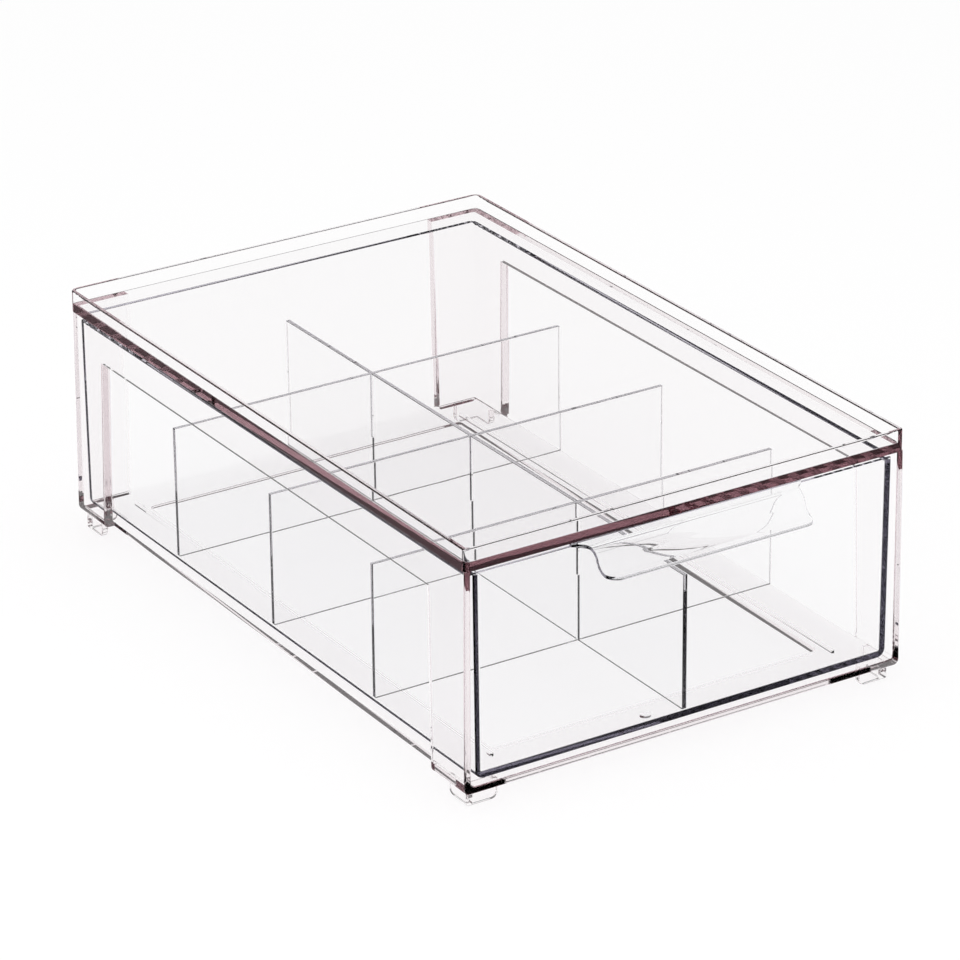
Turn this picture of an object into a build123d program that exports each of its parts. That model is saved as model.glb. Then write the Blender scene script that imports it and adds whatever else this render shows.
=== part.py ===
from build123d import *
import os
from math import cos, pi, sin

# Stackable clear box with one pull-out drawer and a lift-out divider grid.
# Frame: +X right, the drawer pulls out towards -Y, +Z up, millimetres.
# The origin is on the table, under the middle of the box and its handle.

# Top tray: a flat plate with a raised rim that holds the feet of a box above.
tray_width = 208.0
tray_depth = 318.0
tray_front_corner = 2.2
tray_rear_corner = 3.8
plate = 3.5
rim_height = 6.0
rim_wall = 2.0
rim_edge_radius = 0.6
well_corner = 1.2
well_foot_radius = 0.3

# Casing: two side walls with windows, two rear posts and a floor frame.
# Its faces flare outwards on their way down, as mould draft.
casing_top = 102.6
front_clearance = 6.9
rear_clearance = 8.9
front_setback = 0.3
front_wall_end = 2.8
rear_wall_end = 4.1
wall_flare = 0.95
room_flare = 0.7
rear_wall = 3.6
rear_flare = 1.2
floor_top = 10.0
rear_corner = 4.0
room_corner = 1.0
outer_bottom_radius = 2.5
room_bottom_radius = 2.0
front_edge_radius = 0.8
seam = 0.05
post_leg = 26.8
gap_flare = 1.9
window_length = 262.6
window_flare = 2.5
window_top = 86.7
window_edge_radius = 0.5
cutout_width = 158.0
cutout_length = 274.0
cutout_corner = 2.0
runner_x = 82.6
runner_length = 286.0
runner_width = 1.5
runner_top = 11.2
nib_x = -13.0
nib_from_front = 12.0
nib_radius = 2.5
nib_height = 1.0

# Feet: small L-shaped blocks that nest inside the rim of a box below.
foot_leg = 14.0
foot_thickness = 3.2
foot_inset = 3.5
foot_end_radius = 3.0
foot_edge_radius = 0.6

# Drawer: an open tub whose front wall carries the curved pull.
tub_half_width = 99.2
tub_taper = 0.4
tub_front = -157.2
tub_rear = 155.0
tub_bottom = 11.6
tub_wall = 2.5
tub_floor = 2.6
front_wall = 1.5
tub_height = 87.4
front_height = 88.6
tub_bottom_radius = 4.0
tub_rear_radius = 3.2
tub_front_radius = 0.8
cavity_radius = 0.8
cavity_rear_radius = 0.8
cavity_front_radius = 0.6

# Pull: an S-shaped lip, level at the front wall, down, and level at its edge.
pull_root_width = 109.0
pull_neck_width = 99.0
pull_lip_width = 97.0
pull_thickness = 1.5
pull_rise = 1.3
pull_shelf = 4.5
pull_lip = 4.0
pull_bend = 6.0
pull_turn = 74.0
pull_corner = 6.0
pull_neck_radius = 6.0

# Dividers: one long plate and three cross plates, joined by half laps.
divider = 2.0
divider_height = 59.3
divider_clearance = 0.3
divider_corner = 0.6
divider_edge_radius = 0.2
lap_clearance = 0.1
cross_middle = 0.65
cross_spacing = 80.0
cross_count = 3

soft_edge = 0.4
cut_margin = 10.0

# Sizes that follow from the ones above.
plate_top = casing_top + plate
tray_top = plate_top + rim_height
casing_half_width = tray_width / 2
casing_front = -tray_depth / 2 + front_setback
casing_rear = tray_depth / 2
room_rear = casing_rear - rear_wall
room_front_half_width = casing_half_width - front_wall_end
room_rear_half_width = casing_half_width - rear_wall_end

tub_floor_top = tub_bottom + tub_floor
tub_top = tub_bottom + tub_height
front_top = tub_bottom + front_height
cavity_half_width = tub_half_width - tub_wall
cavity_front = tub_front + front_wall
cavity_rear = tub_rear - tub_wall

pull_bend_run = 2 * pull_bend * sin(pull_turn * pi / 180)
pull_edge = tub_front - pull_shelf - pull_bend_run - pull_lip
divider_bottom = tub_floor_top + divider_clearance
divider_top = divider_bottom + divider_height
divider_middle = (cavity_front + cavity_rear) / 2
origin_y = (pull_edge + casing_rear + rear_flare) / 2


def block(x_range, y_range, z_range):
    """A plain box between two limits on each axis."""
    size = [high - low for low, high in (x_range, y_range, z_range)]
    middle = [(low + high) / 2 for low, high in (x_range, y_range, z_range)]
    return Pos(*middle) * Box(*size)


def front_view_solid(points, y_range):
    """A solid with one outline of (x, z) points, between two places along Y."""
    low, high = y_range
    outline = make_face(Polyline(*[(x, low, z) for x, z in points], close=True))
    return extrude(outline, amount=high - low, dir=(0, 1, 0))


def side_view_solid(points, x_range):
    """A solid with one outline of (y, z) points, between two places along X."""
    low, high = x_range
    outline = make_face(Polyline(*[(low, y, z) for y, z in points], close=True))
    return extrude(outline, amount=high - low, dir=(1, 0, 0))


def flared(top_size, flare, z):
    """A size that grows by its flare from the casing's top to its lowest edge."""
    return top_size + flare * (casing_top - z) / (casing_top - front_clearance)


def underside(y):
    """Height of the casing's underside, which rises towards the rear."""
    rise = rear_clearance - front_clearance
    return front_clearance + rise * (y - casing_front) / (casing_rear - casing_front)


def edges_at(shape, axis, place):
    """The shape's edges whose middle lies at one place along an axis."""
    near = 0.01
    return shape.edges().filter_by_position(axis, place - near, place + near)


def edges_along(shape, axis):
    """The shape's edges that run nearly along an axis."""
    nearly_parallel = 0.99
    return shape.edges().filter_by(lambda edge: abs(edge.tangent_at(0.5).dot(axis.direction)) > nearly_parallel)


def rounded_plan(width, depth, front_radius, rear_radius, z_range):
    """An upright block about the Z axis with rounded corners in plan."""
    low, high = z_range
    outline = Rectangle(width, depth)
    outline = fillet(outline.vertices().group_by(Axis.Y)[0], front_radius)
    outline = fillet(outline.vertices().group_by(Axis.Y)[-1], rear_radius)
    return Pos(0, 0, low) * extrude(outline, high - low)


def top_tray():
    """Plate and rim, which lie on the casing's walls."""
    tray = rounded_plan(tray_width, tray_depth, tray_front_corner, tray_rear_corner, (casing_top, tray_top))
    well_width = tray_width - 2 * rim_wall
    well_depth = tray_depth - 2 * rim_wall
    well = (plate_top, tray_top + cut_margin)
    tray -= rounded_plan(well_width, well_depth, well_corner, well_corner, well)
    tray = fillet(edges_at(tray, Axis.Z, plate_top), well_foot_radius)
    return fillet(edges_at(tray, Axis.Z, tray_top), rim_edge_radius)


def casing_envelope():
    """The casing's outer form as a solid, with rounded rear and lower edges."""
    top = casing_top - seam
    foot_half_width = casing_half_width + wall_flare
    foot_rear = casing_rear + rear_flare
    front_view = [
        (-foot_half_width, front_clearance),
        (foot_half_width, front_clearance),
        (flared(casing_half_width, wall_flare, top), top),
        (-flared(casing_half_width, wall_flare, top), top),
    ]
    side_view = [
        (casing_front, front_clearance),
        (foot_rear, underside(foot_rear)),
        (casing_rear, top),
        (casing_front, top),
    ]
    solid = front_view_solid(front_view, (casing_front - cut_margin, foot_rear + cut_margin))
    solid &= side_view_solid(side_view, (-foot_half_width - cut_margin, foot_half_width + cut_margin))
    solid = fillet(edges_along(solid, Axis.Z).group_by(Axis.Y)[-1], rear_corner)
    return fillet(edges_along(solid, Axis.Y).group_by(Axis.Z)[0], outer_bottom_radius)


def room_section(half_width, y):
    """The room's outline across the box at one place along Y."""
    low = flared(half_width, room_flare, floor_top)
    high = flared(half_width, room_flare, casing_top + cut_margin)
    return make_face(Polyline(
        (-low, y, floor_top),
        (low, y, floor_top),
        (high, y, casing_top + cut_margin),
        (-high, y, casing_top + cut_margin),
        close=True,
    ))


def casing_room():
    """The space for the drawer, open to the front and the top, narrower at the rear."""
    front = room_section(room_front_half_width, casing_front - cut_margin)
    solid = loft([front, room_section(room_rear_half_width, room_rear)], ruled=True)
    solid = fillet(edges_along(solid, Axis.Z).group_by(Axis.Y)[-1], room_corner)
    return fillet(edges_along(solid, Axis.Y).group_by(Axis.Z)[0], room_bottom_radius)


def window(side):
    """The cutter for one side window, wider at its foot, open downwards."""
    top_half = window_length / 2
    low = front_clearance - cut_margin
    low_half = top_half + window_flare * (window_top - low) / (window_top - front_clearance)
    side_view = [(-low_half, low), (low_half, low), (top_half, window_top), (-top_half, window_top)]
    x_range = sorted((side * room_rear_half_width, side * (casing_half_width + cut_margin)))
    return side_view_solid(side_view, x_range)


def window_edges(body):
    """The long edges of both windows on the walls' outer and inner faces."""
    frame_places = (-window_length / 2, window_length / 2)
    top = edges_at(body, Axis.Z, window_top).filter_by(Axis.Y)
    ends = ShapeList()
    for edge in edges_along(body, Axis.Z):
        middle = edge.center()
        reach = min(abs(middle.Y - place) for place in frame_places)
        if reach < window_flare and abs(middle.X) > room_rear_half_width and middle.Z < window_top:
            ends.append(edge)
    return top + ends


def rear_gap():
    """The cutter between the two rear posts, wider at its foot."""
    low = floor_top
    high = casing_top + cut_margin
    half_width = casing_half_width - post_leg
    front_view = [
        (-flared(half_width, gap_flare, low), low),
        (flared(half_width, gap_flare, low), low),
        (flared(half_width, gap_flare, high), high),
        (-flared(half_width, gap_flare, high), high),
    ]
    return front_view_solid(front_view, (0, casing_rear + cut_margin))


def casing_body():
    """Walls, posts and floor frame with its runners, in one moulding."""
    room = casing_room()
    body = casing_envelope() - room
    below_top = casing_top - seam - soft_edge
    front_rim = edges_at(body, Axis.Y, casing_front).filter_by(lambda edge: edge.center().Z < below_top)
    body = fillet(front_rim, front_edge_radius)
    body -= rear_gap()
    for side in (-1, 1):
        body -= window(side)
    body = fillet(window_edges(body), window_edge_radius)
    cutout = block(
        (-cutout_width / 2, cutout_width / 2),
        (-cutout_length / 2, cutout_length / 2),
        (0, runner_top + cut_margin),
    )
    body -= fillet(cutout.edges().filter_by(Axis.Z), cutout_corner)
    for side in (-1, 1):
        body += Pos(side * runner_x, 0, 0) * runner() & room
    return body + floor_nib()


def runner():
    """One low rib with round ends, level on top, that the drawer slides on."""
    outline = SlotOverall(runner_length, runner_width, rotation=90)
    return extrude(outline, runner_top)


def floor_nib():
    """A small half-round nib near the front of the floor frame."""
    disc = Circle(nib_radius)
    half = disc & Pos(0, -nib_radius) * Rectangle(2 * nib_radius, 2 * nib_radius)
    nib_y = casing_front + nib_from_front
    return Pos(nib_x, nib_y, floor_top - nib_height) * extrude(half, 2 * nib_height)


def foot(side_x, side_y):
    """One L-shaped foot, its outer corner turned to a corner of the casing."""
    height = rear_clearance + cut_margin
    along_x = block((-foot_leg, 0), (-foot_thickness, 0), (0, height))
    along_y = block((-foot_thickness, 0), (-foot_leg, 0), (0, height))
    far_x = along_x.edges().filter_by(Axis.Y).group_by(Axis.Z)[0].sort_by(Axis.X)[0]
    far_y = along_y.edges().filter_by(Axis.X).group_by(Axis.Z)[0].sort_by(Axis.Y)[0]
    solid = fillet(far_x, foot_end_radius) + fillet(far_y, foot_end_radius)
    convex = solid.edges().filter_by(
        lambda edge: edge.center().Z < height - soft_edge
        and abs(edge.center().X + foot_thickness) + abs(edge.center().Y + foot_thickness) > soft_edge
    )
    solid = fillet(convex, foot_edge_radius)
    turn = {(1, 1): 0, (-1, 1): 90, (-1, -1): 180, (1, -1): 270}[(side_x, side_y)]
    corner_x = casing_half_width + wall_flare - foot_inset
    corner_y = {1: casing_rear + rear_flare - foot_inset, -1: casing_front + foot_inset}[side_y]
    solid = Pos(side_x * corner_x, corner_y, 0) * Rot(0, 0, turn) * solid
    reach = tray_depth
    below_casing = [
        (-reach, -cut_margin),
        (reach, -cut_margin),
        (reach, underside(reach) - seam),
        (-reach, underside(-reach) - seam),
    ]
    return solid & side_view_solid(below_casing, (-tray_width, tray_width))


def trough(half_width, y_range, z_range, bottom_radius, rear_radius, front_radius):
    """A solid that fills a tub: narrower below, round at its foot and ends."""
    low, high = z_range
    low_half_width = half_width - tub_taper
    front_view = [(-low_half_width, low), (low_half_width, low), (half_width, high), (-half_width, high)]
    solid = front_view_solid(front_view, y_range)
    long_edges = solid.edges().filter_by(Axis.Y).group_by(Axis.Z)[0]
    solid = fillet(long_edges, bottom_radius)
    rear = solid.faces().sort_by(Axis.Y)[-1].edges() - solid.edges().group_by(Axis.Z)[-1]
    solid = fillet(rear, rear_radius)
    front = solid.faces().sort_by(Axis.Y)[0].edges() - solid.edges().group_by(Axis.Z)[-1]
    return fillet(front, front_radius)


def pull_curve(offset):
    """Line, bend, counter-bend and line, at one side of the pull's middle."""
    turn = pull_turn * pi / 180
    middle_z = front_top + pull_rise - pull_thickness / 2
    bend_y = tub_front - pull_shelf
    down_y, down_z = bend_y, middle_z - pull_bend
    up_y, up_z = down_y - 2 * pull_bend * sin(turn), down_z + 2 * pull_bend * cos(turn)

    def on_down(angle):
        radius = pull_bend + offset
        return (0, down_y - radius * sin(angle), down_z + radius * cos(angle))

    def on_up(angle):
        radius = pull_bend - offset
        return (0, up_y + radius * sin(angle), up_z - radius * cos(angle))

    start = (0, cavity_front, middle_z + offset)
    end = (0, pull_edge, on_up(0)[2])
    return [
        Line(start, on_down(0)),
        ThreePointArc(on_down(0), on_down(turn / 2), on_down(turn)),
        ThreePointArc(on_up(turn), on_up(turn / 2), on_up(0)),
        Line(on_up(0), end),
    ]


def pull():
    """The curved lip: wide at its root, then a narrower tongue with round corners."""
    upper = pull_curve(pull_thickness / 2)
    lower = pull_curve(-pull_thickness / 2)
    closing = [Line(upper[0] @ 0, lower[0] @ 0), Line(upper[-1] @ 1, lower[-1] @ 1)]
    section = make_face(upper + lower + closing)
    strip = extrude(section, amount=pull_root_width, dir=(1, 0, 0), both=True)
    neck_y = tub_front - pull_shelf
    outline = make_face(Polyline(
        (-pull_root_width / 2, cavity_front),
        (-pull_root_width / 2, tub_front),
        (-pull_neck_width / 2, neck_y),
        (-pull_lip_width / 2, pull_edge),
        (pull_lip_width / 2, pull_edge),
        (pull_neck_width / 2, neck_y),
        (pull_root_width / 2, tub_front),
        (pull_root_width / 2, cavity_front),
        close=True,
    ))
    outline = fillet(outline.vertices().group_by(Axis.Y)[0], pull_corner)
    neck = outline.vertices().filter_by_position(Axis.Y, neck_y - soft_edge, neck_y + soft_edge)
    outline = fillet(neck, pull_neck_radius)
    strip &= extrude(outline, amount=front_top + cut_margin)
    return strip


def drawer_tub():
    """Open tub with thin walls, a taller front wall and the pull."""
    tub = trough(
        tub_half_width,
        (tub_front, tub_rear),
        (tub_bottom, front_top),
        tub_bottom_radius,
        tub_rear_radius,
        tub_front_radius,
    )
    tub -= trough(
        cavity_half_width,
        (cavity_front, cavity_rear),
        (tub_floor_top, front_top + cut_margin),
        cavity_radius,
        cavity_rear_radius,
        cavity_front_radius,
    )
    everywhere = (-tray_width, tray_width)
    behind_front = (cavity_front, tray_depth)
    tub -= block(everywhere, behind_front, (tub_top, front_top + cut_margin))
    tub = fillet(edges_at(tub, Axis.Z, tub_top), soft_edge)
    return tub + pull()


def plate_blank(length):
    """An upright divider plate along X, its edges softened all round."""
    outline = Rectangle(length, divider_height)
    outline = fillet(outline.vertices().group_by(Axis.Y)[0], divider_corner)
    solid = Rot(90, 0, 0) * extrude(outline, amount=divider / 2, both=True)
    sides = solid.faces().sort_by(Axis.Y)
    return fillet(sides[0].edges() + sides[-1].edges(), divider_edge_radius)


def lap_slot(upper):
    """The cutter for half a lap joint: the plate's upper or lower half."""
    width = divider + 2 * lap_clearance
    half = divider_height / 2 + lap_clearance
    reach = half + cut_margin
    centre = divider_height / 2 + cut_margin - reach / 2
    return Pos(0, 0, centre if upper else -centre) * Box(width, width, reach)


def cross_places():
    """Positions of the cross plates along the drawer, front to rear."""
    first = cross_middle - cross_spacing * (cross_count - 1) / 2
    return [first + index * cross_spacing for index in range(cross_count)]


def long_divider():
    """The plate that runs from the front wall to the rear wall."""
    length = cavity_rear - cavity_front - 2 * divider_clearance
    solid = plate_blank(length)
    for place in cross_places():
        solid -= Pos(place - divider_middle, 0, 0) * lap_slot(upper=True)
    middle_z = (divider_bottom + divider_top) / 2
    return Pos(0, divider_middle, middle_z) * Rot(0, 0, 90) * solid


def cross_divider(place):
    """One plate across the drawer, its slot open downwards."""
    solid = plate_blank(2 * (cavity_half_width - tub_taper - divider_clearance))
    solid -= lap_slot(upper=False)
    middle_z = (divider_bottom + divider_top) / 2
    return Pos(0, place, middle_z) * solid


def all_parts():
    """Every piece of the box by name."""
    parts = {"top_tray": top_tray(), "casing_body": casing_body()}
    corners = {"front_left": (-1, -1), "front_right": (1, -1), "rear_left": (-1, 1), "rear_right": (1, 1)}
    for name, (side_x, side_y) in corners.items():
        parts["foot_" + name] = foot(side_x, side_y)
    parts["drawer_tub"] = drawer_tub()
    parts["divider_long"] = long_divider()
    for name, place in zip(("front", "middle", "rear"), cross_places()):
        parts["divider_cross_" + name] = cross_divider(place)
    return parts


os.makedirs("parts", exist_ok=True)
for node, shape in all_parts().items():
    export_step(Pos(0, -origin_y, 0) * shape, f"parts/{node}.step")
print(f"origin_y {origin_y:.3f}, length {casing_rear + rear_flare - pull_edge:.2f}, height {tray_top:.2f}")
print(f"drawer x +-{tub_half_width:.2f}, y {tub_front:.2f} to {tub_rear:.2f}, z {tub_bottom:.2f} to {tub_top:.2f}")
print(f"dividers z {divider_bottom:.2f} to {divider_top:.2f}, cross plates at {cross_places()}")
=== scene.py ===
import math

import bpy
from mathutils import Matrix, Vector


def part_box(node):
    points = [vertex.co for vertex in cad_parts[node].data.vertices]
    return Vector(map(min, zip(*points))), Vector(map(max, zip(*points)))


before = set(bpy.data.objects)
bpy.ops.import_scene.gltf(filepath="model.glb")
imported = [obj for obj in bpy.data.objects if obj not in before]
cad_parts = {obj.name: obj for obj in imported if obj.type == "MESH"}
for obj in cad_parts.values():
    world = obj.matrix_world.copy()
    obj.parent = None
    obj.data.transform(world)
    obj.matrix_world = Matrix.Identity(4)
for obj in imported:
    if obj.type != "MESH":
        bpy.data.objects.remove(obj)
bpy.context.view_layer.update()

# ---------------------------------------------------------------------------
# Top tray: a flat plate with a raised rim, which lies on the casing's walls.
# Taken to be general-purpose polystyrene with a trace of violet dye, moulded
# in a polished tool, so that its faces look like still water.
polystyrene_ior = 1.59
polished_roughness = 0.0
warm_dye = "cbabb3"
warm_dye_density = 11.0


def linear(code):
    """Linear colour of an sRGB hex code, by the sRGB transfer curve."""
    parts = [int(code[i:i + 2], 16) / 255 for i in (0, 2, 4)]
    return [p / 12.92 if p <= 0.04045 else ((p + 0.055) / 1.055) ** 2.4 for p in parts] + [1.0]


def node(tree, kind, settings, links):
    """Adds one node, sets its values and links its inputs, each by name or number."""
    made = tree.nodes.new(kind)
    for key, value in settings.items():
        if isinstance(key, int) or key in made.inputs:
            made.inputs[key].default_value = value
        else:
            setattr(made, key, value)
    for key, source in links.items():
        tree.links.new(source, made.inputs[key])
    return made


def clear_moulding(piece_name, dye, dye_density, ripple_mm, ripple_depth_mm):
    """A polished clear plastic with a weak dye in its depth and a faint ripple on its faces.

    The dye is an absorption: thin walls stay clear, and a plate seen through
    its edge turns dark, as its light has come a long way inside it.
    Where the angle turns all light back, a face mirrors in full. Elsewhere it
    keeps only a small part of the mirroring that the real plastic has.
    Lamps and the bounce light of the floor pass it, so its shadow stays pale.
    """
    all_turned_back = 0.99
    kept_mirroring = 0.08
    mm = 0.001
    material = bpy.data.materials.new("polished clear polystyrene, " + piece_name)
    material.use_nodes = True
    tree = material.node_tree
    tree.nodes.clear()
    place = node(tree, "ShaderNodeTexCoord", {}, {})
    ripple = node(
        tree, "ShaderNodeTexNoise", {"Scale": 1 / (ripple_mm * mm), "Detail": 1.5, "Roughness": 0.4},
        {"Vector": place.outputs["Object"]},
    )
    bump = node(
        tree, "ShaderNodeBump", {"Strength": 1.0, "Distance": ripple_depth_mm * mm},
        {"Height": ripple.outputs["Fac"]},
    )
    waved = {"Normal": bump.outputs["Normal"]}
    optics = {"IOR": polystyrene_ior, "Roughness": polished_roughness}
    bent = node(tree, "ShaderNodeBsdfRefraction", {"Color": linear("ffffff"), **optics}, waved)
    glass = node(
        tree, "ShaderNodeBsdfPrincipled",
        {"Base Color": linear("ffffff"), "Transmission Weight": 1.0, **optics}, waved,
    )
    fresnel = node(tree, "ShaderNodeFresnel", {"IOR": polystyrene_ior}, waved)
    total = node(
        tree, "ShaderNodeMath", {"operation": "GREATER_THAN", 1: all_turned_back},
        {0: fresnel.outputs[0]},
    )
    share = node(tree, "ShaderNodeMath", {"operation": "MAXIMUM", 1: kept_mirroring}, {0: total.outputs[0]})
    body = node(
        tree, "ShaderNodeMixShader", {},
        {0: share.outputs[0], 1: bent.outputs[0], 2: glass.outputs[0]},
    )
    through = node(tree, "ShaderNodeBsdfTransparent", {"Color": linear("ffffff")}, {})
    path = node(tree, "ShaderNodeLightPath", {}, {})
    lamp_or_bounce = node(
        tree, "ShaderNodeMath", {"operation": "MAXIMUM"},
        {0: path.outputs["Is Shadow Ray"], 1: path.outputs["Is Diffuse Ray"]},
    )
    surface = node(
        tree, "ShaderNodeMixShader", {},
        {0: lamp_or_bounce.outputs[0], 1: body.outputs[0], 2: through.outputs[0]},
    )
    inside = node(tree, "ShaderNodeVolumeAbsorption", {"Color": linear(dye), "Density": dye_density}, {})
    node(
        tree, "ShaderNodeOutputMaterial", {},
        {"Surface": surface.outputs[0], "Volume": inside.outputs[0]},
    )
    return material


def dress(material, *names):
    """Gives CAD nodes their finish."""
    for name in names:
        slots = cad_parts[name].data.materials
        slots.clear()
        slots.append(material)


tray_plastic = clear_moulding("tray", warm_dye, warm_dye_density, ripple_mm=22.0, ripple_depth_mm=0.006)
dress(tray_plastic, "top_tray")

# ---------------------------------------------------------------------------
# Casing: side walls with windows, rear posts and floor frame.
# The same clear plastic, moulded in one shot with the two ribs of its floor.
casing_plastic = clear_moulding("casing", warm_dye, warm_dye_density, ripple_mm=26.0, ripple_depth_mm=0.006)
dress(casing_plastic, "casing_body")

# ---------------------------------------------------------------------------
# Feet: four small L-shaped blocks under the casing's corners.
# The same clear plastic, with a finer ripple, as they are small mouldings.
feet_plastic = clear_moulding("feet", warm_dye, warm_dye_density, ripple_mm=8.0, ripple_depth_mm=0.004)
dress(feet_plastic, "foot_front_left", "foot_front_right", "foot_rear_left", "foot_rear_right")

# ---------------------------------------------------------------------------
# Drawer: a thin-walled tub with its curved pull, moulded in one shot.
# The same plastic, whose edges are a cooler and darker violet grey.
cool_dye = "a5a0b1"
cool_dye_density = 9.0
drawer_plastic = clear_moulding("drawer", cool_dye, cool_dye_density, ripple_mm=30.0, ripple_depth_mm=0.006)
dress(drawer_plastic, "drawer_tub")

# ---------------------------------------------------------------------------
# Dividers: four thin flat plates that slot into each other.
# The same plastic, whose edges are a neutral dark grey.
grey_dye = "a8a4ac"
grey_dye_density = 12.0
plates = ["divider_long"] + ["divider_cross_" + place for place in ("front", "middle", "rear")]
plate_plastic = clear_moulding("dividers", grey_dye, grey_dye_density, ripple_mm=34.0, ripple_depth_mm=0.004)
dress(plate_plastic, *plates)

# ---------------------------------------------------------------------------
# Floor: a matt white sweep, wide enough to reach past every view.
floor_size = 30.0
half = floor_size / 2
floor_corners = [(-half, -half, 0), (half, -half, 0), (half, half, 0), (-half, half, 0)]
floor_mesh = bpy.data.meshes.new("floor")
floor_mesh.from_pydata(floor_corners, [], [(0, 1, 2, 3)])
floor = bpy.data.objects.new("floor", floor_mesh)
bpy.context.scene.collection.objects.link(floor)
paint = bpy.data.materials.new("matt white sweep")
paint.use_nodes = True
paint.node_tree.nodes.clear()
matt = node(paint.node_tree, "ShaderNodeBsdfDiffuse", {"Color": linear("fbfbfb")}, {})
node(paint.node_tree, "ShaderNodeOutputMaterial", {}, {"Surface": matt.outputs[0]})
floor_mesh.materials.append(paint)

# ---------------------------------------------------------------------------
# Studio: even white light all round. Rays that leave the plastic upwards meet
# dark flags, which clear plastic needs to draw its edges, and mirrored rays a
# room that is almost white. A height is the upward part of a ray's direction,
# from 0 at the horizon to 1 overhead.
white = (1, 1, 1, 1)
wall_height = 0.2
ceiling_height = 0.9
wall_light = 0.96
ceiling_light = 0.9
flag_foot = 0.1
flag_full = 0.4
open_light = 1.0
flag_light = 0.2

world = bpy.data.worlds.new("even white studio")
world.use_nodes = True
sky = world.node_tree
sky.nodes.clear()
seen = node(sky, "ShaderNodeLightPath", {}, {})
direction = node(sky, "ShaderNodeTexCoord", {}, {})
axes = node(sky, "ShaderNodeSeparateXYZ", {}, {0: direction.outputs["Generated"]})
mirrored = node(
    sky, "ShaderNodeMapRange",
    {
        "interpolation_type": "SMOOTHSTEP", "From Min": wall_height, "From Max": ceiling_height,
        "To Min": wall_light, "To Max": ceiling_light,
    },
    {"Value": axes.outputs["Z"]},
)
bent_up = node(
    sky, "ShaderNodeMapRange",
    {
        "interpolation_type": "SMOOTHSTEP", "From Min": flag_foot, "From Max": flag_full,
        "To Min": open_light, "To Max": flag_light,
    },
    {"Value": axes.outputs["Z"]},
)
plain = node(sky, "ShaderNodeBackground", {"Color": white, "Strength": open_light}, {})
walls = node(sky, "ShaderNodeBackground", {"Color": white}, {"Strength": mirrored.outputs["Result"]})
flags = node(sky, "ShaderNodeBackground", {"Color": white}, {"Strength": bent_up.outputs["Result"]})
reflected = node(
    sky, "ShaderNodeMixShader", {},
    {0: seen.outputs["Is Glossy Ray"], 1: plain.outputs[0], 2: walls.outputs[0]},
)
all_rays = node(
    sky, "ShaderNodeMixShader", {},
    {0: seen.outputs["Is Transmission Ray"], 1: reflected.outputs[0], 2: flags.outputs[0]},
)
node(sky, "ShaderNodeOutputWorld", {}, {"Surface": all_rays.outputs[0]})
bpy.context.scene.world = world

# ---------------------------------------------------------------------------
# Softbox: one square lamp above the left front, for a faint shadow.
softbox_size = 0.9
softbox_watts = 2.0
softbox_place = Vector((-0.9, -0.6, 1.3))
softbox_aim = Vector((0, 0, 0.05))

softbox_data = bpy.data.lights.new("softbox", "AREA")
softbox_data.shape = "RECTANGLE"
softbox_data.size = softbox_size
softbox_data.size_y = softbox_size
softbox_data.energy = softbox_watts
softbox = bpy.data.objects.new("softbox", softbox_data)
softbox_turn = (softbox_place - softbox_aim).to_track_quat("Z", "Y").to_matrix().to_4x4()
softbox.matrix_world = Matrix.Translation(softbox_place) @ softbox_turn
bpy.context.scene.collection.objects.link(softbox)

# ---------------------------------------------------------------------------
# Camera: the photograph's viewing angle, seen by a long lens. It stands off
# from a point under the tray's middle, by a distance, a side step and a rise.
view_azimuth = math.radians(-32.252)
view_elevation = math.radians(24.239)
view_roll = math.radians(-0.545)
view_distance = 2.0531
view_side = 0.00254
view_rise = 0.04370
focal_px = 4851.4
image_px = 960
sensor_width_mm = 36
aim_height = 0.008

tray_low, tray_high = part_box("top_tray")
aim = Vector(((tray_low[0] + tray_high[0]) / 2, (tray_low[1] + tray_high[1]) / 2, aim_height))
back = Vector((
    math.sin(view_azimuth) * math.cos(view_elevation),
    -math.cos(view_azimuth) * math.cos(view_elevation),
    math.sin(view_elevation),
))
level = Vector((math.cos(view_azimuth), math.sin(view_azimuth), 0))
upright = back.cross(level)
right = level * math.cos(view_roll) + upright * math.sin(view_roll)
up = upright * math.cos(view_roll) - level * math.sin(view_roll)
eye = aim + back * view_distance + right * view_side + up * view_rise

camera_data = bpy.data.cameras.new("camera")
camera_data.sensor_width = sensor_width_mm
camera_data.lens = focal_px / image_px * sensor_width_mm
camera = bpy.data.objects.new("camera", camera_data)
camera.matrix_world = Matrix((
    (right.x, up.x, back.x, eye.x),
    (right.y, up.y, back.y, eye.y),
    (right.z, up.z, back.z, eye.z),
    (0, 0, 0, 1),
))
bpy.context.scene.collection.objects.link(camera)
bpy.context.scene.camera = camera

# Light crosses many clear walls on its way, so its paths may be long.
longest_path = 64
scene = bpy.context.scene
scene.view_settings.view_transform = "Standard"
scene.cycles.max_bounces = longest_path
scene.cycles.transmission_bounces = longest_path
scene.cycles.glossy_bounces = longest_path
scene.cycles.transparent_max_bounces = longest_path
